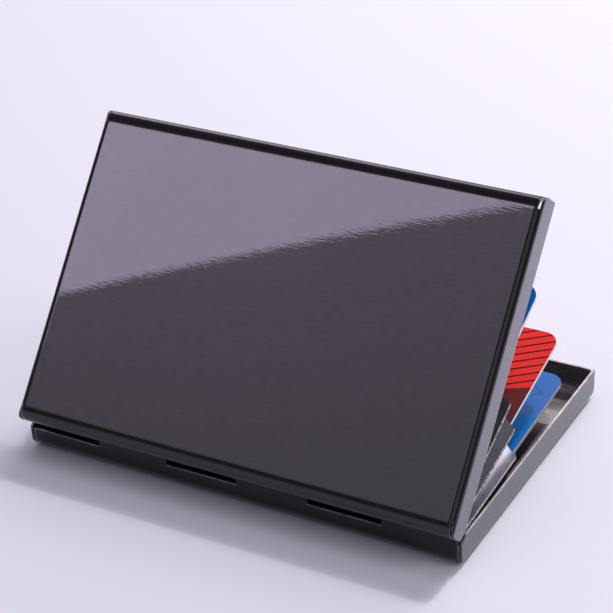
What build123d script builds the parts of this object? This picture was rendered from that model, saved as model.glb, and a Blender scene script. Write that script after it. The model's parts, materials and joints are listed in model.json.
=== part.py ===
from build123d import *
import os
from math import cos, radians, sin

# A slim card case: two identical stamped steel shells on a piano hinge, with a
# gusseted card organiser and three cards inside. Every part is drawn with the
# case shut and then turned about the hinge to where it rests. Millimetres,
# X along the hinge, +Y towards the opening edge, origin under the base's centre.

# --- case ---
CASE_L = 96.0            # along the hinge
CASE_W = 65.4            # from the hinge side to the opening side
HALF_H = 6.5             # height of one shell, to the hinge axis
SHEET = 0.45             # steel thickness
RIM_GAP = 0.05           # each rim stops this short of the parting plane
LONG_BEND = 2.8          # outer bend radius of the two long walls
END_BEND = 1.4           # outer bend radius of the two end walls
END_SLIT = 0.35          # slit between the long walls and the end walls
RIM_ROUND = 0.8          # rounded top corners of the opening wall
CORNER_CUT_Y = 2.2       # cut corner of the end walls, beside the hinge
CORNER_CUT_Z = 1.3
LID_OPEN = 50.3          # degrees that the lid stands open at rest

# --- hinge ---
KNUCKLE_R = 1.0
BORE_R = 0.55
PIN_R = 0.5
PIN_EDGE = 0.12          # chamfered pin ends
SEGMENTS = 6             # knuckles along the hinge, in turn base and lid
KNUCKLE_GAP = 0.1        # half the play between two knuckles
SLOT_DEPTH = 1.77        # below the rim, where the other shell's knuckle sits
CURL_SLIT = 0.25         # where the curled sheet nearly meets its own wall
CURL_SLIT_ANGLE = 232.0

# --- organiser ---
LEAVES = {               # height of its middle with the case shut, degrees open at rest
    "base_board": (1.9, 4.2),
    "divider_1": (3.8, 14.0),
    "divider_2": (5.5, 24.6),
    "divider_3": (7.9, 35.3),
    "lid_board": (10.5, 46.1),
}
LEAF_T = 0.5
LEAF_RIGHT_X = 45.1      # the organiser is taped in slightly off centre
LEAF_LEFT_X = -46.6
LEAF_CORNER = 0.6
SPINE_R = 2.3            # hinge axis to the foot of every leaf
FOLD_R = 30.6            # hinge axis to the top of the gusseted part
BOARD_R = 48.2           # hinge axis to the top of the two tall boards
BOARD_INSET = 1.0        # each side, above the gussets
BOARD_CORNER = 0.8
FILM = 0.2               # gusset and pleat film
FOLD_IN_FOOT = 0.4       # how far a gusset folds inwards, at the spine
FOLD_IN_TOP = 2.4        # and at the mouth
GLUE_GAP = 0.12          # film to the leaf that it is glued to
TAPE_INNER_X = 10.0
TAPE_OUTER_X = 38.0
TAPE_FOOT_R = 4.0
TAPE_TOP_R = 16.0
TAPE_GAP = 0.05          # tape to its board with the case shut

# --- cards (ISO ID-1) ---
CARD_W = 85.6
CARD_H = 53.98
CARD_T = 0.76
CARD_CORNER = 3.18
CARD_PLAY = 0.05
CARDS = {                # leaf it lies on, sideways shift, hinge axis to its foot
    "card_blue": ("base_board", 1.3, 4.0),
    "card_red": ("divider_1", 1.2, 2.6),
    "card_navy": ("divider_2", -2.1, 3.6),
}

# --- latch ---
LATCH_W = 12.0
LATCH_SHEET = 0.4
TONGUE_STANDOFF = 0.3    # tongue to the base's wall with the case shut
TONGUE_REACH = 2.3       # below the parting plane
TONGUE_WELD = 3.0        # welded length on the lid's wall
WINDOW_W = 6.0
WINDOW_H = 1.0
WINDOW_EDGE = 0.8        # below the window
SPRING_T = 0.3
SPRING_BEND = 2.4
SPRING_FOOT = 6.0
SPRING_TOP_Z = 5.6
SPRING_GAP = 0.4         # tongue to the spring blade
NUB_R = 0.6
NUB_SINK = 0.3           # the nub stands out of the blade by this much
NUB_W = 4.0

# --- worked out ---
AXIS_Y = KNUCKLE_R - CASE_W / 2
HINGE = Axis((0, AXIS_Y, HALF_H), (1, 0, 0))
RIM_Z = HALF_H - RIM_GAP
INNER_Y = CASE_W / 2 - SHEET
CHANNEL_X = CASE_L / 2 - SHEET - END_SLIT
FLAT_W = CASE_W - 2 * LONG_BEND
SEGMENT = 2 * CHANNEL_X / SEGMENTS
LEAF_MIDDLE_X = (LEAF_LEFT_X + LEAF_RIGHT_X) / 2
LEAF_W = LEAF_RIGHT_X - LEAF_LEFT_X


def turned_point(radius, height, angle):
    """Point at a radius along a leaf and a height above its parting plane, in YZ."""
    turn = radians(angle)
    return (
        AXIS_Y + radius * cos(turn) - height * sin(turn),
        HALF_H + radius * sin(turn) + height * cos(turn),
    )


def finish(name, part):
    """Label one piece and write its file."""
    part.label = name
    export_step(part, f"parts/{name}.step")


def trough(inset):
    """Section of a shell across the hinge, inset from its outer skin."""
    with BuildSketch(Plane.YZ) as section:
        with Locations((0, (RIM_Z + inset) / 2)):
            Rectangle(CASE_W - 2 * inset, RIM_Z - inset)
        fillet(section.vertices().group_by(Axis.Y)[0], LONG_BEND - inset)
    return section.sketch


def stamped_shell():
    """One steel shell: floor, two long walls, two end walls and three knuckles."""
    with BuildPart() as shell:
        # floor and long walls
        extrude(trough(0), amount=CHANNEL_X, both=True)
        extrude(trough(SHEET), amount=CHANNEL_X, both=True, mode=Mode.SUBTRACT)
        rims = shell.edges().filter_by(Axis.Y).group_by(Axis.Z)[-1]
        fillet(rims.group_by(Axis.Y)[-1], RIM_ROUND)

        # end walls, folded up from the flat of the floor
        with Locations((-CASE_L / 2, 0, 0), (CASE_L / 2, 0, 0)):
            Box(2 * END_BEND, FLAT_W, 2 * END_BEND, mode=Mode.SUBTRACT)
        for side in (-1, 1):
            quarter = (Align.MIN if side > 0 else Align.MAX, Align.MAX)
            with BuildSketch(Plane.XZ) as bend:
                with Locations((side * (CASE_L / 2 - END_BEND), END_BEND)):
                    Circle(END_BEND)
                    Circle(END_BEND - SHEET, mode=Mode.SUBTRACT)
                    Rectangle(END_BEND, END_BEND, align=quarter, mode=Mode.INTERSECT)
            extrude(bend.sketch, amount=FLAT_W / 2, both=True)
            with BuildSketch(Plane.YZ.offset(side * CASE_L / 2)) as plate:
                with Locations((0, RIM_Z / 2)):
                    Rectangle(CASE_W, RIM_Z)
                fillet(plate.vertices().group_by(Axis.Y)[0], LONG_BEND)
                Rectangle(FLAT_W, 2 * END_BEND, mode=Mode.SUBTRACT)
                Polygon(
                    (-CASE_W / 2, RIM_Z),
                    (-CASE_W / 2 + CORNER_CUT_Y, RIM_Z),
                    (-CASE_W / 2, RIM_Z - CORNER_CUT_Z),
                    align=None,
                    mode=Mode.SUBTRACT,
                )
            extrude(plate.sketch, amount=-side * SHEET)

        # the corners of the end walls follow the bend under them
        with BuildSketch(Plane.XZ) as side_view:
            with Locations((0, CASE_W / 2)):
                Rectangle(CASE_L, CASE_W)
            fillet(side_view.vertices().group_by(Axis.Y)[0], END_BEND)
        extrude(side_view.sketch, amount=CASE_W / 2, both=True, mode=Mode.INTERSECT)

        # hinge side: a slot for each of the other shell's knuckles, then its own
        for index in range(SEGMENTS):
            start_x = -CHANNEL_X + index * SEGMENT
            if index % 2 == 0:
                low_x = max(start_x - KNUCKLE_GAP, -CHANNEL_X)
                width = start_x + SEGMENT + KNUCKLE_GAP - low_x
                with Locations((low_x, -CASE_W / 2, HALF_H - SLOT_DEPTH)):
                    Box(width, 2 * KNUCKLE_R, SLOT_DEPTH, align=Align.MIN, mode=Mode.SUBTRACT)
            else:
                curl_turn = radians(CURL_SLIT_ANGLE)
                middle_r = (KNUCKLE_R + BORE_R) / 2
                with BuildSketch(Plane.YZ.offset(start_x + KNUCKLE_GAP)) as curl:
                    with Locations((AXIS_Y, HALF_H)):
                        Circle(KNUCKLE_R)
                        Circle(BORE_R, mode=Mode.SUBTRACT)
                        with Locations(
                            Location(
                                (middle_r * cos(curl_turn), middle_r * sin(curl_turn)),
                                CURL_SLIT_ANGLE,
                            )
                        ):
                            Rectangle(2 * (KNUCKLE_R - BORE_R), CURL_SLIT, mode=Mode.SUBTRACT)
                extrude(curl.sketch, amount=SEGMENT - 2 * KNUCKLE_GAP)
    return shell.part


def opened(part, angle):
    """Turn a piece drawn in the shut case to where it rests."""
    return part.rotate(HINGE, angle)


def mirrored_lid(part):
    """Turn a piece of the base over into the same piece of the shut lid."""
    return part.rotate(Axis((0, 0, HALF_H), (0, 1, 0)), 180)


os.makedirs("parts", exist_ok=True)

# --- case ---
shell_part = stamped_shell()
finish("base_tray", shell_part)

lid_part = opened(mirrored_lid(shell_part), LID_OPEN)
finish("lid_shell", lid_part)

with BuildPart() as hinge_pin:
    with BuildSketch(Plane.YZ.offset(-CHANNEL_X)):
        with Locations((AXIS_Y, HALF_H)):
            Circle(PIN_R)
    extrude(amount=2 * CHANNEL_X)
    chamfer(hinge_pin.edges().filter_by(GeomType.CIRCLE), PIN_EDGE)
finish("hinge_pin", hinge_pin.part)

# --- latch: a tongue on the lid's wall, a sprung blade on the base's floor ---
tongue_y = INNER_Y - TONGUE_STANDOFF
with BuildPart() as latch_tongue:
    with BuildSketch(Plane.YZ) as tongue_section:
        with BuildLine():
            Polyline(
                (tongue_y, HALF_H - TONGUE_REACH),
                (tongue_y, HALF_H + TONGUE_STANDOFF),
                (INNER_Y, HALF_H + 3 * TONGUE_STANDOFF),
                (INNER_Y, HALF_H + TONGUE_WELD),
                (INNER_Y - LATCH_SHEET, HALF_H + TONGUE_WELD),
                (INNER_Y - LATCH_SHEET, HALF_H + 3 * TONGUE_STANDOFF),
                (tongue_y - LATCH_SHEET, HALF_H + TONGUE_STANDOFF),
                (tongue_y - LATCH_SHEET, HALF_H - TONGUE_REACH),
                close=True,
            )
        make_face()
    extrude(amount=LATCH_W / 2, both=True)
    window_z = HALF_H - TONGUE_REACH + WINDOW_EDGE + WINDOW_H / 2
    with Locations((0, tongue_y, window_z)):
        Box(WINDOW_W, 2 * LATCH_SHEET, WINDOW_H, mode=Mode.SUBTRACT)
    tip_corners = latch_tongue.edges().filter_by(Axis.Y).group_by(Axis.Z)[0]
    fillet(tip_corners, RIM_ROUND)
finish("latch_tongue", opened(latch_tongue.part, LID_OPEN))

blade_y = tongue_y - LATCH_SHEET - SPRING_GAP
with BuildPart() as latch_spring:
    with BuildSketch(Plane.YZ) as spring_section:
        with BuildLine():
            FilletPolyline(
                (blade_y - SPRING_FOOT, SHEET + SPRING_T / 2),
                (blade_y - SPRING_T / 2, SHEET + SPRING_T / 2),
                (blade_y - SPRING_T / 2, SPRING_TOP_Z),
                radius=SPRING_BEND,
            )
        trace(line_width=SPRING_T)
    extrude(spring_section.sketch, amount=LATCH_W / 2, both=True)
    with BuildSketch(Plane.YZ) as nub_section:
        with Locations((blade_y + NUB_SINK - NUB_R, window_z)):
            Circle(NUB_R)
    extrude(nub_section.sketch, amount=NUB_W / 2, both=True)
finish("latch_spring", latch_spring.part)

# --- tapes that hold the organiser to both shells ---
base_gap = LEAVES["base_board"][0] - LEAF_T / 2 - SHEET
lid_gap = 2 * HALF_H - SHEET - LEAVES["lid_board"][0] - LEAF_T / 2
for side_name, side in (("left", -1), ("right", 1)):
    middle = (side * (TAPE_INNER_X + TAPE_OUTER_X) / 2, AXIS_Y + TAPE_FOOT_R)
    size = (TAPE_OUTER_X - TAPE_INNER_X, TAPE_TOP_R - TAPE_FOOT_R)
    with BuildPart() as base_tape:
        with Locations((*middle, SHEET)):
            Box(*size, base_gap - TAPE_GAP, align=(Align.CENTER, Align.MIN, Align.MIN))
    finish(f"base_tape_{side_name}", base_tape.part)
    with BuildPart() as lid_tape:
        with Locations((*middle, 2 * HALF_H - SHEET)):
            Box(*size, lid_gap - TAPE_GAP, align=(Align.CENTER, Align.MIN, Align.MAX))
    finish(f"lid_tape_{side_name}", opened(lid_tape.part, LID_OPEN))

# --- organiser leaves: two tall boards and three low dividers ---
for leaf, (height, angle) in LEAVES.items():
    foot = (LEAF_MIDDLE_X, AXIS_Y + SPINE_R)
    upwards = (Align.CENTER, Align.MIN)
    with BuildPart() as leaf_part:
        with BuildSketch(Plane.XY.offset(height - LEAF_T / 2)) as outline:
            with Locations(foot):
                Rectangle(LEAF_W, FOLD_R - SPINE_R, align=upwards)
            fillet(outline.vertices().group_by(Axis.Y)[-1], LEAF_CORNER)
            if leaf.endswith("board"):
                with Locations(foot):
                    Rectangle(LEAF_W - 2 * BOARD_INSET, BOARD_R - SPINE_R, align=upwards)
                fillet(outline.vertices().group_by(Axis.Y)[-1], BOARD_CORNER)
        extrude(amount=LEAF_T)
    finish(leaf, opened(leaf_part.part, angle))

# --- gussets and spine pleats, each between one leaf and the next ---
pairs = list(zip(LEAVES.values(), list(LEAVES.values())[1:]))
for number, ((height, angle), (next_height, next_angle)) in enumerate(pairs, start=1):
    middle_angle = (angle + next_angle) / 2
    turn = radians(middle_angle)

    def gap_plane(radius):
        """Plane across the gap between two leaves, and half the gap there."""
        low = Vector(0, *turned_point(radius, height - HALF_H + LEAF_T / 2, angle))
        high = Vector(0, *turned_point(radius, next_height - HALF_H - LEAF_T / 2, next_angle))
        across = Plane(
            origin=(low + high) / 2, x_dir=(1, 0, 0), z_dir=(0, cos(turn), sin(turn))
        )
        return across, (high - low).length / 2 - GLUE_GAP

    for side_name, edge_x, inwards in (("left", LEAF_LEFT_X, 1), ("right", LEAF_RIGHT_X, -1)):
        with BuildPart() as gusset:
            for radius, fold_in in ((SPINE_R, FOLD_IN_FOOT), (FOLD_R, FOLD_IN_TOP)):
                across, half_gap = gap_plane(radius)
                fold_x = edge_x + inwards * fold_in
                with BuildSketch(across):
                    Polygon(
                        (edge_x, -half_gap),
                        (fold_x, 0),
                        (edge_x, half_gap),
                        (edge_x + inwards * FILM, half_gap),
                        (fold_x + inwards * FILM, 0),
                        (edge_x + inwards * FILM, -half_gap),
                        align=None,
                    )
            loft(ruled=True)
        finish(f"gusset_{side_name}_{number}", gusset.part)

    across, half_gap = gap_plane(SPINE_R)
    with BuildPart() as pleat:
        with BuildSketch(Plane.YZ.offset(LEAF_LEFT_X)) as loop:
            with Locations(Location((across.origin.Y, across.origin.Z), middle_angle)):
                Circle(half_gap)
                Circle(half_gap - FILM, mode=Mode.SUBTRACT)
                Rectangle(
                    half_gap,
                    2 * half_gap,
                    align=(Align.MAX, Align.CENTER),
                    mode=Mode.INTERSECT,
                )
        extrude(amount=LEAF_W)
    finish(f"spine_pleat_{number}", pleat.part)

# --- cards ---
for name, (leaf, shift, foot_r) in CARDS.items():
    height, angle = LEAVES[leaf]
    with BuildPart() as card:
        with BuildSketch(Plane.XY.offset(height + LEAF_T / 2 + CARD_PLAY)):
            with Locations((shift, AXIS_Y + foot_r + CARD_H / 2)):
                RectangleRounded(CARD_W, CARD_H, CARD_CORNER)
        extrude(amount=CARD_T)
    finish(name, opened(card.part, angle))
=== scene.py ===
import json
from math import cos, pi, radians, sin, tan

import bmesh
import bpy
from mathutils import Matrix, Vector


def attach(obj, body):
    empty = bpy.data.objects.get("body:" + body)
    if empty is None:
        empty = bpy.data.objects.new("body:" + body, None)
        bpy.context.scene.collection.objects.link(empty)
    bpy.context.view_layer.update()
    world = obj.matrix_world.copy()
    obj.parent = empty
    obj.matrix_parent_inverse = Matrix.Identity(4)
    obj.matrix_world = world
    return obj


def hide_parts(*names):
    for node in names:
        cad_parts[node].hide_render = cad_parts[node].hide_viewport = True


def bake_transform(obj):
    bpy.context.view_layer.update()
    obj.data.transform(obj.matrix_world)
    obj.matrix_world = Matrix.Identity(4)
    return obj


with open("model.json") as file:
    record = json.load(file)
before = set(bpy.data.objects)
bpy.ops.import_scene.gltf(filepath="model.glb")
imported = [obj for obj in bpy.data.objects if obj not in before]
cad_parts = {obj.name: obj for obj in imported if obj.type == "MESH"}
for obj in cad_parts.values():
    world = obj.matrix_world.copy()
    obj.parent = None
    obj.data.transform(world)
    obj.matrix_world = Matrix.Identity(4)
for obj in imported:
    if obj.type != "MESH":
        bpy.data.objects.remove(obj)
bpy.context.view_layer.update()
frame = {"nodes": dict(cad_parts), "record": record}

JOINTS = {joint["name"]: joint for joint in frame["record"]["behaviour"]["joints"]}
MM = 0.001

# --- the hinge frame: everything soft is drawn by radius, height and angle about the hinge ---
HINGE_Y, HINGE_Z = JOINTS["lid_hinge"]["pos_m"][1:]
LID_OPEN = -radians(JOINTS["lid_hinge"]["range_deg"][0])
LEAVES = ("base_board", "divider_1", "divider_2", "divider_3", "lid_board")
CLOSED_HEIGHTS = (1.9, 3.8, 5.5, 7.9, 10.5)      # mm, middle of each leaf in the shut case
LEAF_T = 0.5 * MM
LEAF_LEFT, LEAF_RIGHT = -46.6 * MM, 45.1 * MM
LEAF_CORNER, BOARD_CORNER = 0.6 * MM, 0.8 * MM
SPINE_R, FOLD_R, BOARD_R = 2.3 * MM, 30.6 * MM, 48.2 * MM    # foot, divider top, board top
BOARD_INSET = 1.0 * MM           # a board is narrower above the dividers
CARD_T, CARD_H = 0.76 * MM, 53.98 * MM
CARD_PLAY = 0.05 * MM            # between a card and its leaf
SHEET = 0.45 * MM                # thickness of the steel
CLOSED_HALF = 6.5 * MM           # half the height of the shut case


def leaf_angle(index):
    """A leaf's angle at rest: the share of the lid's angle that its joints follow."""
    shares = {c["joint"]: c["ratio"] for c in frame["record"]["behaviour"]["couplings"]}
    return LID_OPEN * sum(shares[f"{leaf}_fold"] for leaf in LEAVES[:index + 1])


def leaf_rise(index):
    """Height of a leaf's middle over the hinge plane, in the shut case."""
    return CLOSED_HEIGHTS[index] * MM - CLOSED_HALF


def hinge_point(x, radius, rise, angle):
    """Point in the row frame, from its place in a plane turned about the hinge."""
    return Vector((
        x,
        HINGE_Y + radius * cos(angle) - rise * sin(angle),
        HINGE_Z + radius * sin(angle) + rise * cos(angle),
    ))


# ---------------------------------------------------------------- materials


class Nodes:
    """Short way to write a material's node tree."""

    def __init__(self, name):
        self.material = bpy.data.materials.new(name)
        self.material.use_nodes = True
        self.tree = self.material.node_tree
        self.shader = self.tree.nodes["Principled BSDF"]

    def add(self, kind, **values):
        node = self.tree.nodes.new(kind)
        for key, value in values.items():
            if hasattr(node, key):
                setattr(node, key, value)
            else:
                node.inputs[key].default_value = value
        return node

    def link(self, source, target):
        self.tree.links.new(source, target)
        return self

    def set(self, **values):
        for key, value in values.items():
            self.shader.inputs[key.replace("_", " ")].default_value = value
        return self

    def math(self, operation, first, second=None):
        node = self.add("ShaderNodeMath", operation=operation)
        for slot, value in enumerate((first, second)):
            if value is None:
                continue
            if isinstance(value, (int, float)):
                node.inputs[slot].default_value = value
            else:
                self.link(value, node.inputs[slot])
        return node.outputs[0]

    def dot(self, vector, axis):
        node = self.add("ShaderNodeVectorMath", operation="DOT_PRODUCT")
        self.link(vector, node.inputs[0])
        node.inputs[1].default_value = axis
        return node.outputs["Value"]

    def coords(self, kind):
        return self.add("ShaderNodeTexCoord").outputs[kind]

    def place(self, scale, turn=(0, 0, 0)):
        """Object coordinates, turned and scaled."""
        coords = self.coords("Object")
        node = self.add("ShaderNodeMapping")
        node.inputs["Rotation"].default_value = turn
        node.inputs["Scale"].default_value = scale
        self.link(coords, node.inputs["Vector"])
        return node.outputs["Vector"]

    def noise(self, vector, scale, detail=3.0, rough=0.55):
        node = self.add("ShaderNodeTexNoise")
        node.inputs["Scale"].default_value = scale
        node.inputs["Detail"].default_value = detail
        node.inputs["Roughness"].default_value = rough
        self.link(vector, node.inputs["Vector"])
        return node.outputs["Fac"]

    def range(self, value, low, high, to_low=0.0, to_high=1.0):
        node = self.add("ShaderNodeMapRange")
        self.link(value, node.inputs["Value"])
        for name, number in (
            ("From Min", low), ("From Max", high), ("To Min", to_low), ("To Max", to_high)
        ):
            node.inputs[name].default_value = number
        return node.outputs["Result"]

    def mix(self, factor, first, second):
        node = self.add("ShaderNodeMix", data_type="RGBA")
        for slot, value in ((0, factor), (6, first), (7, second)):
            socket = node.inputs[slot]
            if isinstance(value, (int, float)):
                socket.default_value = value
            elif isinstance(value, tuple):
                socket.default_value = (*value, 1)
            else:
                self.link(value, socket)
        return node.outputs[2]

    def mix_vector(self, factor, first, second):
        """A direction between two others."""
        node = self.add("ShaderNodeMix", data_type="VECTOR")
        self.link(factor, node.inputs[0])
        self.link(first, node.inputs[4])
        self.link(second, node.inputs[5])
        return node.outputs[1]

    def bump(self, height, strength, distance, normal=None):
        node = self.add("ShaderNodeBump")
        node.inputs["Strength"].default_value = strength
        node.inputs["Distance"].default_value = distance
        self.link(height, node.inputs["Height"])
        if normal is not None:
            self.link(normal, node.inputs["Normal"])
        return node.outputs["Normal"]


def hinge_plane(n, angle):
    """Sockets for a place in a plane turned about the hinge: x, radius, and height over it."""
    shifted = n.add("ShaderNodeVectorMath", operation="SUBTRACT")
    n.link(n.coords("Object"), shifted.inputs[0])
    shifted.inputs[1].default_value = (0, HINGE_Y, HINGE_Z)
    where = shifted.outputs[0]
    return (
        n.dot(where, (1, 0, 0)),
        n.dot(where, (0, cos(angle), sin(angle))),
        n.dot(where, (0, -sin(angle), cos(angle))),
    )


def toned(colour, share):
    return tuple(share * c for c in colour)


BLACK_STEEL = (0.014, 0.012, 0.015)              # the dark coat on the outside
BARE_LOW, BARE_HIGH = (0.25, 0.22, 0.22), (0.44, 0.395, 0.395)    # the hollow side and its lines
CUT_STEEL = (0.8, 0.74, 0.7)                     # cut rims and rubbed corners
LID_END, BASE_END = (0.158, 0.145, 0.187), (0.093, 0.087, 0.12)   # blasted end walls; the lid's is lighter than the base's as painted light
BRUSH = (520, 3000, 3000)                        # brush lines to the metre: long along the hinge
FINE_BRUSH = (420, 9000, 9000)
BRUSH_DEPTH = 0.0011 * MM
CROWN = 0.0035                                   # slope of the crown at the middle of the case
CROWN_R = 52.0 * MM                              # where the crown starts to fall off
CASE_HALF_W = 48.0 * MM
RUB_R, SOFT_R = 0.25 * MM, 0.7 * MM              # bevels: at a rim, and over a bend


def steel(name, angle, inside, end_colour):
    """Dark brushed steel under a hard clear layer; inside: 1 if its hollow faces up, -1 if down."""
    n = Nodes(name)
    x, radius, rise = hinge_plane(n, angle)
    height_off = n.math("ABSOLUTE", rise)
    normal = n.coords("Normal")
    level = n.dot(normal, (0, -sin(angle), cos(angle)))
    lines = n.noise(n.place(BRUSH, turn=(-angle, 0, 0)), 1.0, 1.0, 0.5)
    fine = n.noise(n.place(FINE_BRUSH, turn=(-angle, 0, 0)), 1.0, 3.0, 0.6)
    smudge = n.noise(n.place((30, 30, 30)), 1.0, 3.0)
    both = n.math("ADD", n.math("MULTIPLY", lines, 0.7), n.math("MULTIPLY", fine, 0.3))

    # bare metal where the sheet was cut or its corner is rubbed
    rim_normal = n.add("ShaderNodeBevel", samples=6)
    rim_normal.inputs["Radius"].default_value = RUB_R
    bend_normal = n.add("ShaderNodeBevel", samples=8)
    bend_normal.inputs["Radius"].default_value = SOFT_R
    away_from_rim = n.range(height_off, 0.7 * MM, 2.0 * MM)
    soft_normal = n.mix_vector(away_from_rim, rim_normal.outputs[0], bend_normal.outputs[0])
    turned = n.add("ShaderNodeVectorMath", operation="DOT_PRODUCT")
    n.link(rim_normal.outputs[0], turned.inputs[0])
    n.link(n.add("ShaderNodeNewGeometry").outputs["True Normal"], turned.inputs[1])
    chips = n.noise(n.place((500, 500, 500)), 1.0, 4.0, 0.7)
    bent = n.range(turned.outputs["Value"], 0.98, 0.86)
    rubbed = n.math("MULTIPLY", bent, n.range(chips, 0.34, 0.56))
    rubbed = n.math("MULTIPLY", rubbed, n.range(radius, 1.5 * MM, 4 * MM, 0.2, 1.0))
    at_rim = n.range(height_off, 0.25 * MM, 0.15 * MM)
    cut = n.math("MULTIPLY", at_rim, n.range(n.math("ABSOLUTE", level), 0.6, 0.8))
    worn = n.math("MAXIMUM", rubbed, n.math("MULTIPLY", cut, n.range(chips, 0.3, 0.55, 0.45, 1.0)))

    # the end walls were blasted, not brushed; the hollow side is barer metal
    ends = n.range(n.math("ABSOLUTE", n.dot(normal, (1, 0, 0))), 0.975, 0.998)
    hollow = n.range(n.math("MULTIPLY", level, inside), 0.4, 0.8)
    wall = n.math("MULTIPLY", n.range(n.dot(normal, (0, -cos(angle), -sin(angle))), 0.5, 0.8),
                  n.range(radius, 45 * MM, 46 * MM))
    bare = n.math("MAXIMUM", hollow, wall)
    tint = n.range(both, 0.35, 0.65)
    face = n.mix(tint, toned(BLACK_STEEL, 0.85), toned(BLACK_STEEL, 1.15))
    raw = n.mix(tint, BARE_LOW, BARE_HIGH)
    grit = n.noise(n.place((3500, 3500, 3500)), 1.0, 2.0)
    blasted = n.mix(n.range(grit, 0.3, 0.7), toned(end_colour, 0.7), toned(end_colour, 1.3))
    body = n.mix(ends, n.mix(bare, face, raw), blasted)
    n.link(n.mix(worn, body, CUT_STEEL), n.shader.inputs["Base Color"])
    satin = n.math("MAXIMUM", n.math("MULTIPLY", ends, 0.13), n.math("MULTIPLY", bare, 0.2))
    polish = n.range(smudge, 0.3, 0.75, 0.28, 0.34)
    n.link(n.math("ADD", polish, satin), n.shader.inputs["Roughness"])

    # height in metres: brush lines, and the slight crown that pressing leaves in a flat sheet
    across = n.math("MULTIPLY", x, 1 / CASE_HALF_W)
    crown = n.math("SUBTRACT", 1.0, n.math("MULTIPLY", across, across))
    lever = n.math("SUBTRACT", radius, CROWN_R)
    crown = n.math("MULTIPLY", n.math("MULTIPLY", crown, lever), CROWN)
    height = n.math("ADD", n.math("MULTIPLY", lines, BRUSH_DEPTH), crown)
    brushed = n.bump(height, 1.0, 1.0, soft_normal)
    n.link(brushed, n.shader.inputs["Normal"])
    n.link(brushed, n.shader.inputs["Coat Normal"])
    n.set(Metallic=1.0, Coat_Weight=1.0, Coat_Roughness=0.015, Coat_IOR=1.4)
    return n.material


def wire_steel():
    """Drawn wire and spring strip: plain bright steel with lines round it."""
    n = Nodes("wire_steel")
    lines = n.noise(n.place((60, 2500, 2500)), 2.0, 3.0)
    n.link(n.mix(lines, (0.2, 0.2, 0.21), (0.42, 0.41, 0.42)), n.shader.inputs["Base Color"])
    n.link(n.range(lines, 0.3, 0.7, 0.22, 0.36), n.shader.inputs["Roughness"])
    n.set(Metallic=1.0)
    return n.material


def leatherette(name, colour):
    """Fine grained coated cloth: small cells between creases, over a slow cloud."""
    n = Nodes(name)
    where = n.place((1, 1, 1))
    cells = n.add("ShaderNodeTexVoronoi", feature="DISTANCE_TO_EDGE")
    cells.inputs["Scale"].default_value = 1500.0      # cells to the metre
    n.link(where, cells.inputs["Vector"])
    creases = n.range(cells.outputs["Distance"], 0.0, 0.12)
    cloud = n.noise(where, 160.0, 3.0)
    tone = n.math("MULTIPLY", creases, n.range(cloud, 0.3, 0.7, 0.7, 1.0))
    n.link(n.mix(tone, toned(colour, 0.55), colour), n.shader.inputs["Base Color"])
    n.link(n.range(cloud, 0.3, 0.7, 0.44, 0.58), n.shader.inputs["Roughness"])
    n.link(n.bump(creases, 0.4, 0.05 * MM), n.shader.inputs["Normal"])
    return n.material


def edge_binding(name, colour, speckle):
    """The cut rim of a leaf; speckle: how much of it is between dark nicks and light edge."""
    n = Nodes(name)
    nicks = n.noise(n.place((1400, 1400, 1400)), 1.0, 3.0, 0.7)
    shade = n.range(nicks, 0.5 - speckle / 2, 0.5 + speckle / 2)
    n.link(n.mix(shade, toned(colour, 0.25), colour), n.shader.inputs["Base Color"])
    n.link(n.bump(nicks, 0.4, 0.05 * MM), n.shader.inputs["Normal"])
    n.set(Roughness=0.32, Coat_Weight=0.4, Coat_Roughness=0.2)
    return n.material


def foil(name, colour, rough, weave, gloss):
    """Gusset film: thin, slightly creased and glossy, with a fine woven face."""
    n = Nodes(name)
    where = n.place((1, 1, 1))
    crinkle = n.noise(where, 420.0, 3.0, 0.55)
    threads = n.noise(n.place((5200, 900, 5200)), 1.0, 2.0)
    tone = n.math("ADD", n.math("MULTIPLY", crinkle, 0.7), n.math("MULTIPLY", threads, 0.3))
    shade = n.mix(n.range(tone, 0.3, 0.7), toned(colour, 0.8), toned(colour, 1.2))
    n.link(shade, n.shader.inputs["Base Color"])
    n.link(n.range(crinkle, 0.3, 0.7, rough - 0.05, rough + 0.07), n.shader.inputs["Roughness"])
    folds = n.bump(crinkle, 0.25, 0.12 * MM)
    n.link(n.bump(threads, weave, 0.03 * MM, folds), n.shader.inputs["Normal"])
    n.set(Metallic=1.2 * gloss, Coat_Weight=gloss, Coat_Roughness=0.25)
    n.set(Specular_IOR_Level=gloss)
    return n.material


def foam():
    """Dark foam tape with open pores."""
    n = Nodes("foam")
    pores = n.add("ShaderNodeTexVoronoi")
    pores.inputs["Scale"].default_value = 2600.0
    n.link(n.place((1, 1, 1)), pores.inputs["Vector"])
    depth = n.range(pores.outputs["Distance"], 0.0, 0.6)
    n.link(n.mix(depth, (0.012, 0.012, 0.013), (0.05, 0.05, 0.052)), n.shader.inputs["Base Color"])
    n.link(n.bump(depth, 0.6, 0.08 * MM), n.shader.inputs["Normal"])
    n.set(Roughness=0.92)
    return n.material


def stripes(n, value, pitch, width, soft):
    """1 inside thin lines that repeat along a value, 0 between them."""
    wrapped = n.add("ShaderNodeMath", operation="PINGPONG")
    n.link(value, wrapped.inputs[0])
    wrapped.inputs[1].default_value = pitch / 2
    return n.range(wrapped.outputs[0], width / 2 + soft, width / 2 - soft)


def step(n, value, edge, soft=0.03 * MM):
    """0 below an edge, 1 above it."""
    return n.range(value, edge - soft, edge + soft)


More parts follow.
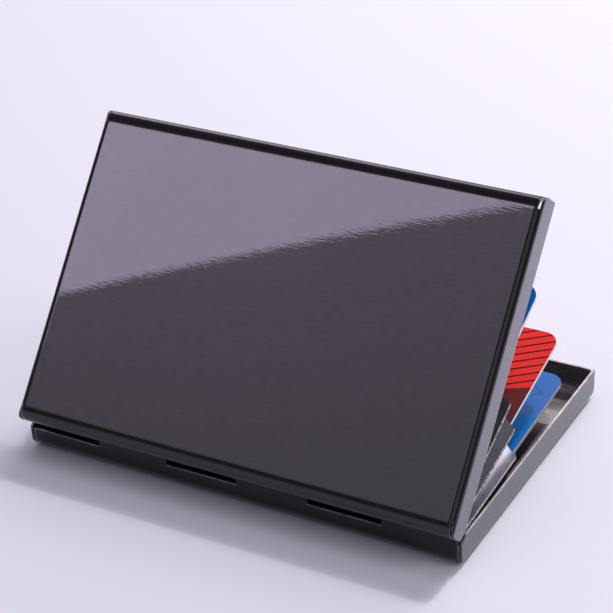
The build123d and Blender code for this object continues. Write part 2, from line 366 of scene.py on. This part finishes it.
def printed_card(name, index, paint):
    """White plastic core with a print on the top face, under a clear laminate."""
    n = Nodes(name)
    angle = leaf_angle(index)
    x, radius, _ = hinge_plane(n, angle)
    upward = n.dot(n.coords("Normal"), (0, -sin(angle), cos(angle)))
    flat = n.range(n.math("ABSOLUTE", upward), 0.7, 0.8)
    face = paint(n, x, radius)
    dust = n.noise(n.place((1, 1, 1)), 1800.0, 2.0)
    front = n.mix(n.range(dust, 0.35, 0.7, 0.0, 0.012), face, (0.75, 0.78, 0.82))
    back = n.mix(n.range(dust, 0.3, 0.7), (0.72, 0.73, 0.76), (0.82, 0.82, 0.85))
    faces = n.mix(n.range(upward, -0.1, 0.1), back, front)
    edge = n.mix(dust, (0.9, 0.88, 0.9), (0.97, 0.96, 0.97))
    n.link(n.mix(flat, edge, faces), n.shader.inputs["Base Color"])
    n.link(n.range(dust, 0.3, 0.7, 0.3, 0.4), n.shader.inputs["Roughness"])
    n.link(n.bump(dust, 0.08, 0.02 * MM), n.shader.inputs["Normal"])
    n.set(Specular_IOR_Level=0.1)
    return n.material


def blue_print(n, x, radius):
    """Two blues that meet on a slant, and one thin dark chevron; the upper blue is paler partly as
    a painted reflection of the laminate.
    """
    slant = n.math("SUBTRACT", radius, n.math("MULTIPLY", x, 0.12))
    # the upper blue: a printed tone, made paler in part as painted reflection
    ground = n.mix(step(n, slant, 37.7 * MM), (0.0, 0.18, 0.56), (0.045, 0.175, 0.5))
    arm = n.math("ABSOLUTE", n.math("SUBTRACT", radius, 50.9 * MM))
    tip = n.math("ADD", n.math("MULTIPLY", arm, 1.35), x)
    line = n.math("ABSOLUTE", n.math("SUBTRACT", tip, 42.0 * MM))
    chevron = n.math("MULTIPLY", step(n, x, 37.0 * MM), n.range(line, 0.16 * MM, 0.1 * MM))
    return n.mix(chevron, ground, (0.02, 0.03, 0.1))


def red_print(n, x, radius):
    """Dark thin stripes across red, over a dark foot that is painted shadow where the card sits
    down in its pocket.
    """
    lean = n.math("SUBTRACT", radius, n.math("MULTIPLY", x, 0.58))
    lines = stripes(n, n.math("ADD", lean, 0.65 * MM), 2.3 * MM, 0.5 * MM, 0.06 * MM)
    ground = n.math("SUBTRACT", radius, n.math("MULTIPLY", x, 0.4))
    above = step(n, ground, 23.5 * MM)
    shade = n.mix(lines, (0.92, 0.035, 0.025), (0.04, 0.01, 0.03))
    # below the step the red is painted dark: painted shadow
    return n.mix(above, (0.14, 0.018, 0.026), shade)


def navy_print(n, x, radius):
    """Plain blue, darker towards the foot as painted shade down in its pocket, with pale rules."""
    # darker towards the foot: painted shade
    depth = n.range(radius, 20 * MM, 60 * MM)
    ground = n.mix(depth, (0.0, 0.05, 0.24), (0.0, 0.12, 0.47))
    rules = stripes(n, radius, 9.0 * MM, 0.25 * MM, 0.05 * MM)
    fade = n.range(x, 10 * MM, -30 * MM)
    return n.mix(n.math("MULTIPLY", rules, fade), ground, (0.25, 0.4, 0.7))


def chip_gold():
    """Contact pads: gold with the grooves between them."""
    n = Nodes("chip_gold")
    x = n.dot(n.coords("Generated"), (1, 0, 0))
    y = n.dot(n.coords("Generated"), (0, 1, 0))
    across = stripes(n, n.math("ADD", y, 0.125), 0.25, 0.03, 0.008)
    from_middle = n.math("ABSOLUTE", n.math("SUBTRACT", x, 0.5))
    outside = n.math("SUBTRACT", 1.0, n.range(from_middle, 0.19, 0.17))
    pads = n.math("MULTIPLY", across, outside)
    frame_line = n.range(n.math("ABSOLUTE", n.math("SUBTRACT", from_middle, 0.18)), 0.018, 0.01)
    cut = n.math("MAXIMUM", pads, frame_line)
    n.link(n.mix(cut, (0.83, 0.6, 0.26), (0.12, 0.08, 0.03)), n.shader.inputs["Base Color"])
    n.link(n.bump(cut, -0.4, 0.02 * MM), n.shader.inputs["Normal"])
    n.set(Metallic=0.45, Roughness=0.3)
    return n.material


def give(material, *names):
    """Put one material on CAD nodes."""
    for name in names:
        node = frame["nodes"][name]
        node.data.materials.clear()
        node.data.materials.append(material)


# ---------------------------------------------------------------- shapes


def build(name, points, faces, materials, rim=()):
    """Mesh from points and faces; faces in rim take the second material."""
    mesh = bpy.data.meshes.new(name)
    mesh.from_pydata([tuple(p) for p in points], [], faces)
    for material in materials:
        mesh.materials.append(material)
    for index in rim:
        mesh.polygons[index].material_index = 1
    bm = bmesh.new()
    bm.from_mesh(mesh)
    bmesh.ops.remove_doubles(bm, verts=bm.verts, dist=1e-7)
    bmesh.ops.dissolve_degenerate(bm, dist=1e-8, edges=bm.edges)
    bmesh.ops.recalc_face_normals(bm, faces=bm.faces)
    bm.to_mesh(mesh)
    bm.free()
    for polygon in mesh.polygons:
        polygon.use_smooth = True
    obj = bpy.data.objects.new(name, mesh)
    bpy.context.scene.collection.objects.link(obj)
    return obj


def stations(length, near, pitch):
    """Distances along a length: the given ones at both ends, evenly spaced between."""
    inner = length - 2 * near[-1]
    count = max(1, round(inner / pitch))
    middle = [near[-1] + inner * i / count for i in range(1, count)]
    return [*near, *middle, *(length - d for d in reversed(near))]


def smooth(t):
    """0 to 1 without a corner."""
    t = min(1.0, max(0.0, t))
    return t * t * (3 - 2 * t)


RIM = 0.22 * MM                  # width of a sheet's rounded rim
COLUMN_PITCH, ROW_PITCH = 2.5 * MM, 1.5 * MM
TOOTH = 0.9 * MM                 # from nick to nick
WELD_HALF_W, WELD_DEPTH = 0.2 * MM, 0.1          # depth as a share of the sheet's thickness
SHOULDER_RUN = 0.9 * MM


def plate(
    name, left, right, foot, top, rise, angle, thickness, materials, *,
    corner=0.0, foot_corner=0.0, edge=RIM, weld=None, shoulder=None, teeth=0.0,
):
    """Flat sheet with rounded rims, in a plane turned about the hinge.

    weld: distance from the rim to a pressed line. shoulder: (radius, inset) where it gets narrower.
    teeth: height of the nicks along both sides.
    """
    width, length = right - left, top - foot
    near = [edge * share for share in (0, 0.08, 0.25, 0.55, 1.0)]
    if weld:
        near += [weld + WELD_HALF_W * share for share in (-1, -0.5, 0, 0.5, 1)]
    across = stations(width, near, COLUMN_PITCH)
    along = stations(length, near, TOOTH / 4 if teeth else ROW_PITCH)
    half = thickness / 2

    def place(dx, dr, sign):
        from_side, from_end = min(dx, width - dx), min(dr, length - dr)
        side = 1 if dx > width / 2 else -1
        end = 1 if dr > length / 2 else -1
        depth = min(from_side, from_end)
        bulge = half * (1 if depth >= edge else (1 - (1 - depth / edge) ** 2) ** 0.5)
        if weld and abs(depth - weld) < WELD_HALF_W:
            bulge -= WELD_DEPTH * thickness * cos(pi * (depth - weld) / (2 * WELD_HALF_W))
        x, radius = left + dx, foot + dr
        limit = corner if end > 0 else foot_corner
        if from_side < limit and from_end < limit:
            u, v = 1 - from_side / limit, 1 - from_end / limit
            x += side * limit * (u * (1 - v * v / 2) ** 0.5 - u)
            radius += end * limit * (v * (1 - u * u / 2) ** 0.5 - v)
        if shoulder:
            share = smooth((radius - shoulder[0]) / SHOULDER_RUN)
            middle = (left + right) / 2
            x = middle + (x - middle) * (1 - 2 * shoulder[1] * share / width)
        if teeth and from_side < edge:
            saw = abs((radius / TOOTH) % 1 - 0.5) * 2 - 0.5
            x += side * teeth * saw * (1 - from_side / edge)
        return hinge_point(x, radius, rise + sign * bulge, angle)

    columns, rows = len(across), len(along)
    points = [place(dx, dr, sign) for sign in (1, -1) for dr in along for dx in across]
    faces, rim = [], []
    for layer in range(2):
        for j in range(rows - 1):
            for i in range(columns - 1):
                corners = [layer * rows * columns + b * columns + a
                           for a, b in ((i, j), (i + 1, j), (i + 1, j + 1), (i, j + 1))]
                dx, dr = (across[i] + across[i + 1]) / 2, (along[j] + along[j + 1]) / 2
                if min(dx, width - dx, dr, length - dr) < edge and len(materials) > 1:
                    rim.append(len(faces))
                faces.append(corners if layer == 0 else corners[::-1])
    return build(name, points, faces, materials, rim)


def shell(name, grid, thickness, material):
    """Thin skin on both sides of a grid of points, closed round its border."""
    rows, columns = len(grid), len(grid[0])
    sides = ([], [])
    for j in range(rows):
        for i in range(columns):
            along = grid[min(j + 1, rows - 1)][i] - grid[max(j - 1, 0)][i]
            across = grid[j][min(i + 1, columns - 1)] - grid[j][max(i - 1, 0)]
            out = along.cross(across).normalized() * thickness / 2
            sides[0].append(grid[j][i] + out)
            sides[1].append(grid[j][i] - out)
    count = rows * columns
    faces = []
    for j in range(rows - 1):
        for i in range(columns - 1):
            a, b = j * columns + i, (j + 1) * columns + i
            faces.append((a, a + 1, b + 1, b))
            faces.append((count + b, count + b + 1, count + a + 1, count + a))
    border = list(range(columns))
    border += [j * columns + columns - 1 for j in range(1, rows)]
    border += [(rows - 1) * columns + i for i in range(columns - 2, -1, -1)]
    border += [j * columns for j in range(rows - 2, 0, -1)]
    for a, b in zip(border, border[1:] + border[:1]):
        faces.append((a, count + a, count + b, b))
    obj = build(name, sides[0] + sides[1], faces, [material])
    obj.data.set_sharp_from_angle(angle=radians(50))
    return obj


# ---------------------------------------------------------------- organiser


def add_leaves():
    """Two tall boards and three low dividers, each with a rounded rim and a weld line round it."""
    skins = {
        "base_board": leatherette("leather_base", (0.03, 0.028, 0.03)),
        "divider_1": leatherette("leather_low", (0.034, 0.032, 0.036)),
        "divider_2": leatherette("leather_middle", (0.03, 0.029, 0.032)),
        "divider_3": leatherette("leather_high", (0.03, 0.028, 0.03)),
        "lid_board": leatherette("leather_lid", (0.03, 0.028, 0.03)),
    }
    # the rims are one cut edge: the base board's near white is a painted highlight, the low
    # dividers' light grey is partly painted highlight; the dark rim is their own colour
    smooth_highlight_edge = edge_binding("edge_smooth_painted_highlight", (0.9, 0.89, 0.95), 0.9)
    nicked_part_highlight_edge = edge_binding("edge_nicked_part_highlight", (0.6, 0.59, 0.62), 0.12)
    dark_edge = edge_binding("edge_dark", (0.08, 0.08, 0.085), 0.3)
    rims = {"base_board": smooth_highlight_edge, "divider_1": nicked_part_highlight_edge, "divider_2": nicked_part_highlight_edge,
            "divider_3": dark_edge, "lid_board": dark_edge}
    for index, leaf in enumerate(LEAVES):
        board = leaf.endswith("board")
        obj = plate(
            f"leaf_{leaf}", LEAF_LEFT, LEAF_RIGHT, SPINE_R, BOARD_R if board else FOLD_R,
            leaf_rise(index), leaf_angle(index), LEAF_T, [skins[leaf], rims[leaf]],
            corner=BOARD_CORNER if board else LEAF_CORNER, weld=1.3 * MM,
            shoulder=(FOLD_R, BOARD_INSET) if board else None,
            teeth=0.0 if board else 0.1 * MM,
        )
        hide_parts(leaf)
        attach(obj, leaf)


FILM_T = 0.14 * MM
FOLD_IN_FOOT, FOLD_IN_TOP = 0.4 * MM, 2.4 * MM       # how far a film folds into its pocket
FILM_INSET = 0.12 * MM                               # from a leaf's side edge
FILM_ROWS, FILM_COLUMNS = 26, 21
RIPPLE, BOW = 0.05 * MM, 0.16 * MM                   # what the halves of a film bend by
PLEAT_ROWS, PLEAT_INSET = 61, 0.3 * MM


def between(index, x, radius, share):
    """Point on the way from one leaf's middle to the next one's."""
    low = hinge_point(x, radius, leaf_rise(index), leaf_angle(index))
    high = hinge_point(x, radius, leaf_rise(index + 1), leaf_angle(index + 1))
    return low.lerp(high, share)


def add_gussets():
    """Folded film at both sides of each pocket, and a rounded pleat at its foot."""
    # one dark glossy film in four places: the first is painted silver as a painted reflection, the
    # second grey as a painted sheen; the black ones are its own colour
    films = [
        foil("film_silver_painted_reflection", (0.85, 0.83, 0.95), 0.3, 0.25, 0.5),
        foil("film_grey_painted_sheen", (0.075, 0.073, 0.095), 0.36, 0.5, 0.15),
        foil("film_black", (0.016, 0.016, 0.02), 0.42, 0.5, 0.08),
        foil("film_black_high", (0.02, 0.02, 0.024), 0.42, 0.5, 0.08),
    ]
    for index, film in enumerate(films):
        for side_name, edge_x, inwards in (("left", LEAF_LEFT, 1), ("right", LEAF_RIGHT, -1)):
            grid = []
            for j in range(FILM_ROWS):
                share = j / (FILM_ROWS - 1)
                radius = SPINE_R + 0.1 * MM + (FOLD_R - SPINE_R - 0.2 * MM) * share
                fold_in = FOLD_IN_FOOT + (FOLD_IN_TOP - FOLD_IN_FOOT) * share
                line = []
                for i in range(FILM_COLUMNS):
                    v = 2 * i / (FILM_COLUMNS - 1) - 1
                    blunt = (v * v + 0.006) ** 0.5 - 0.077      # a crease that isn't quite sharp
                    bend = (RIPPLE * sin(9 * share + 2.4 * index) - BOW) * sin(pi * abs(v)) * share
                    inward = fold_in * (1 - blunt) + FILM_INSET + bend
                    line.append(between(index, edge_x + inwards * inward, radius, (v + 1) / 2))
                grid.append(line)
            obj = shell(f"film_{side_name}_{index + 1}", grid, FILM_T, film)
            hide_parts(f"gusset_{side_name}_{index + 1}")
            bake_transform(obj)

        grid = []
        length = LEAF_RIGHT - LEAF_LEFT - 2 * PLEAT_INSET
        for j in range(PLEAT_ROWS):
            x = LEAF_LEFT + PLEAT_INSET + length * j / (PLEAT_ROWS - 1)
            low, high = between(index, x, SPINE_R, 0), between(index, x, SPINE_R, 1)
            half = (high - low).length / 2
            across = (high - low).normalized()
            inwards = Vector((1, 0, 0)).cross(across).normalized()
            inwards = inwards if inwards.y < 0 else -inwards
            reach = (half - LEAF_T / 2) * (0.9 + 0.03 * sin(j * 0.7 + index))
            grid.append([
                (low + high) / 2 + half * sin(turn) * across
                + (reach * cos(turn) - 0.15 * MM) * inwards
                for turn in (pi * (i / 12 - 0.5) for i in range(13))
            ])
        pleat = shell(f"pleat_{index + 1}", grid, FILM_T, film if index else films[1])
        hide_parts(f"spine_pleat_{index + 1}")
        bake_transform(pleat)


TAPE_INNER, TAPE_OUTER = 10.0 * MM, 38.0 * MM        # from the case's middle, to either side
TAPE_FOOT, TAPE_TOP = 4.0 * MM, 16.0 * MM            # radii about the hinge
TAPE_CORNER, TAPE_EDGE = 0.8 * MM, 0.4 * MM
LOW_GAP, HIGH_GAP = 0.04 * MM, 0.05 * MM             # between a tape and its board


def add_tapes():
    """Foam pads: the lower pair is stuck to the base and the base board, the upper to the lid."""
    soft = foam()
    floor_rise, roof_rise = SHEET - CLOSED_HALF, CLOSED_HALF - SHEET
    board_under = (leaf_rise(0) - LEAF_T / 2) / cos(leaf_angle(0)) - LOW_GAP
    low_tops = [board_under + radius * tan(leaf_angle(0)) for radius in (TAPE_FOOT, TAPE_TOP)]
    board_over = leaf_rise(4) + LEAF_T / 2 + HIGH_GAP
    rounding = {"corner": TAPE_CORNER, "foot_corner": TAPE_CORNER, "edge": TAPE_EDGE}
    for side_name, side in (("left", -1), ("right", 1)):
        left, right = sorted((side * TAPE_INNER, side * TAPE_OUTER))
        obj = plate(
            f"foam_base_{side_name}", left, right, TAPE_FOOT, TAPE_TOP,
            (floor_rise + low_tops[0]) / 2, 0.0, low_tops[0] - floor_rise, [soft], **rounding,
        )
        spread_wedge(obj, floor_rise, low_tops)
        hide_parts(f"base_tape_{side_name}")
        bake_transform(obj)
        obj = plate(
            f"foam_lid_{side_name}", left, right, TAPE_FOOT, TAPE_TOP,
            (roof_rise + board_over) / 2, LID_OPEN, roof_rise - board_over, [soft], **rounding,
        )
        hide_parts(f"lid_tape_{side_name}")
        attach(obj, "lid")


def spread_wedge(obj, floor_rise, tops):
    """Stretch a level pad upwards so that its top meets a board that leans."""
    for vertex in obj.data.vertices:
        radius = vertex.co.y - HINGE_Y
        height = vertex.co.z - HINGE_Z - floor_rise
        share = (radius - TAPE_FOOT) / (TAPE_TOP - TAPE_FOOT)
        vertex.co.z += height / (tops[0] - floor_rise) * (tops[1] - tops[0]) * share


# ---------------------------------------------------------------- cards

CARDS = {                       # leaf, left edge, foot, print
    "card_blue": (0, -41.5 * MM, 4.0 * MM, blue_print),
    "card_red": (1, -41.6 * MM, 2.6 * MM, red_print),
    "card_navy": (2, -44.9 * MM, 3.6 * MM, navy_print),
}
CHIP_LEFT, CHIP_RIGHT = 10.2 * MM, 22.2 * MM          # from the card's left and top edges
CHIP_LOW, CHIP_HIGH = 28.6 * MM, 19.4 * MM
CHIP_T, CHIP_CORNER, CHIP_EDGE = 0.06 * MM, 1.6 * MM, 0.03 * MM


def dress_cards():
    """The cards' prints, and a chip on each."""
    gold = chip_gold()
    for name, (index, left, foot, paint) in CARDS.items():
        give(printed_card(f"print_{name}", index, paint), name)
        top = foot + CARD_H
        face = leaf_rise(index) + LEAF_T / 2 + CARD_PLAY + CARD_T
        chip = plate(
            f"chip_{name}", left + CHIP_LEFT, left + CHIP_RIGHT, top - CHIP_LOW, top - CHIP_HIGH,
            face, leaf_angle(index), CHIP_T, [gold], corner=CHIP_CORNER, foot_corner=CHIP_CORNER,
            edge=CHIP_EDGE,
        )
        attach(chip, name)


# ---------------------------------------------------------------- camera, light, floor

CAM_AZ = radians(29.70)          # from behind the hinge, round to the right
CAM_EL = radians(30.01)
CAM_ROLL = radians(-2.668)
CAM_TARGET = Vector((-9.988, 15.67, 16.555)) * MM
CAM_DISTANCE = 450.73 * MM
CAM_LENS = 126.41


def look_from():
    """The camera, aimed and rolled."""
    back = Vector((sin(CAM_AZ) * cos(CAM_EL), -cos(CAM_AZ) * cos(CAM_EL), sin(CAM_EL)))
    right = Vector((0, 0, 1)).cross(back).normalized()
    up = back.cross(right)
    rolled_right = cos(CAM_ROLL) * right + sin(CAM_ROLL) * up
    rolled_up = cos(CAM_ROLL) * up - sin(CAM_ROLL) * right
    data = bpy.data.cameras.new("camera")
    data.lens = CAM_LENS
    data.clip_start = 0.01
    camera = bpy.data.objects.new("camera", data)
    bpy.context.scene.collection.objects.link(camera)
    turn = Matrix((rolled_right, rolled_up, back)).transposed()
    camera.matrix_world = Matrix.Translation(CAM_TARGET + CAM_DISTANCE * back) @ turn.to_4x4()
    bpy.context.scene.camera = camera


def softbox(name, centre, facing, size, radiance, colour, unseen_by=None, along=(1, 0, 0)):
    """Rectangular light at a place, turned to face a point; radiance is what it looks like.

    unseen_by: "glossy" if nothing mirrors it, "diffuse" if it is only there to be mirrored.
    """
    data = bpy.data.lights.new(name, "AREA")
    data.shape = "RECTANGLE"
    data.size, data.size_y = size
    data.energy = radiance * pi * size[0] * size[1]
    data.color = colour
    light = bpy.data.objects.new(name, data)
    bpy.context.scene.collection.objects.link(light)
    back = (Vector(centre) - Vector(facing)).normalized()
    side = (Vector(along) - Vector(along).dot(back) * back).normalized()
    turn = Matrix((side, back.cross(side), back)).transposed()
    light.matrix_world = Matrix.Translation(centre) @ turn.to_4x4()
    if unseen_by:
        setattr(light, f"visible_{unseen_by}", False)


WORLD = 0.22                     # radiances; the floor comes out near 0.8
WORLD_COLOUR = (0.88, 0.84, 1.0)
LID_EDGE = Vector((0, 3.5, 58.8)) * MM
KEY_HEIGHT = radians(51)         # the key light stands this high over the lid's edge, a metre off
KEY_FROM = Vector((0.13, cos(KEY_HEIGHT), sin(KEY_HEIGHT))).normalized()
LAMP = LID_EDGE + KEY_FROM
SOFTBOXES = (                    # name, centre, point it faces, size, radiance, colour, unseen by
    # one lamp behind the case: a hot middle and a wide dimmer face
    ("key_middle", LAMP, LID_EDGE, (0.067, 0.067), 205.0, (1, 0.985, 0.99), None),
    ("key_face", LAMP + 0.01 * KEY_FROM, LID_EDGE, (0.3, 0.3), 9.5, (0.98, 0.95, 1), "glossy"),
    # soft fill from above, from far behind and from the right
    ("ambient", (0, -0.2, 1.6), (0, 0, 0), (1.6, 1.3), 0.75, (0.98, 0.87, 1), "glossy"),
    ("far", (0.1, 0.85, 0.75), (0, 0.25, 0), (0.7, 0.35), 3.4, (1, 1, 1), "glossy"),
    ("right", (0.87, 0.1, 0.62), (0.04, 0, 0.02), (0.5, 0.4), 3.0, (1, 0.97, 1), "glossy"),
    # what the bare metal in the tray mirrors, behind the case to its left and right
    ("strip", (-0.43, 0.75, 0.5), (0.04, 0.01, 0), (0.4, 0.3), 2.2, (1, 0.93, 0.98), "diffuse"),
    ("glint", (0.54, 0.45, 0.24), (0.04, -0.01, 0.01), (0.4, 0.35), 1.5, (1, 1, 1), "diffuse"),
    # a narrow light that the lid's right bend mirrors, and a wide dim one for the other side
    ("sliver", (-0.2, -0.73, 0.74), (0, -0.02, 0.03), (0.05, 0.5), 2.2, (0.8, 0.86, 1), "diffuse"),
    ("side", (0.66, -0.76, 0.62), (0, -0.02, 0.03), (0.9, 0.6), 0.7, (0.93, 0.9, 1), "diffuse"),
)
PANEL_EDGE = Vector((-0.657, -0.728, 0.716)), Vector((-0.358, -0.714, 0.915))
PANEL_WIDTH = 0.56
PANELS = (                       # name, side of the shared edge, depth, radiance, colour
    ("panel_bright", 1, 0.2, 8.0, (0.87, 0.77, 1)),
    ("panel_dim", -1, 0.34, 1.08, (0.95, 0.87, 1)),
)


def light_up():
    """Studio light: softboxes that light the case, and panels that it mirrors."""
    world = bpy.data.worlds.new("studio")
    bpy.context.scene.world = world
    world.use_nodes = True
    background = world.node_tree.nodes["Background"]
    background.inputs["Color"].default_value = (*WORLD_COLOUR, 1)
    background.inputs["Strength"].default_value = WORLD
    for box in SOFTBOXES:
        softbox(*box)

    # the lid mirrors a bright panel over a dim one; their shared edge crosses it
    middle = (PANEL_EDGE[0] + PANEL_EDGE[1]) / 2
    along = (PANEL_EDGE[1] - PANEL_EDGE[0]).normalized()
    out = middle.normalized()
    beyond = out.cross(along).normalized()
    if beyond.z < 0:
        beyond = -beyond
    for name, side, depth, radiance, colour in PANELS:
        centre = middle + side * depth / 2 * beyond
        size = PANEL_WIDTH, depth
        softbox(name, centre, centre - out, size, radiance, colour, "diffuse", along)


FLOOR_REACH = 3.0


def lay_floor():
    """Plain pale floor under the case."""
    mesh = bpy.data.meshes.new("floor")
    square = [(-1, -1), (1, -1), (1, 1), (-1, 1)]
    corners = [(FLOOR_REACH * x, FLOOR_REACH * y, 0) for x, y in square]
    mesh.from_pydata(corners, [], [(0, 1, 2, 3)])
    floor = bpy.data.objects.new("floor", mesh)
    bpy.context.scene.collection.objects.link(floor)
    n = Nodes("floor")
    n.set(Base_Color=(0.87, 0.86, 0.94, 1), Roughness=0.75)
    mesh.materials.append(n.material)


look_from()
light_up()
lay_floor()
bpy.context.scene.view_settings.view_transform = "Standard"
give(steel("steel_base", 0.0, 1, BASE_END), "base_tray")
give(steel("steel_lid", LID_OPEN, -1, LID_END), "lid_shell")
give(wire_steel(), "hinge_pin", "latch_tongue", "latch_spring")
add_leaves()
add_gussets()
add_tapes()
dress_cards()
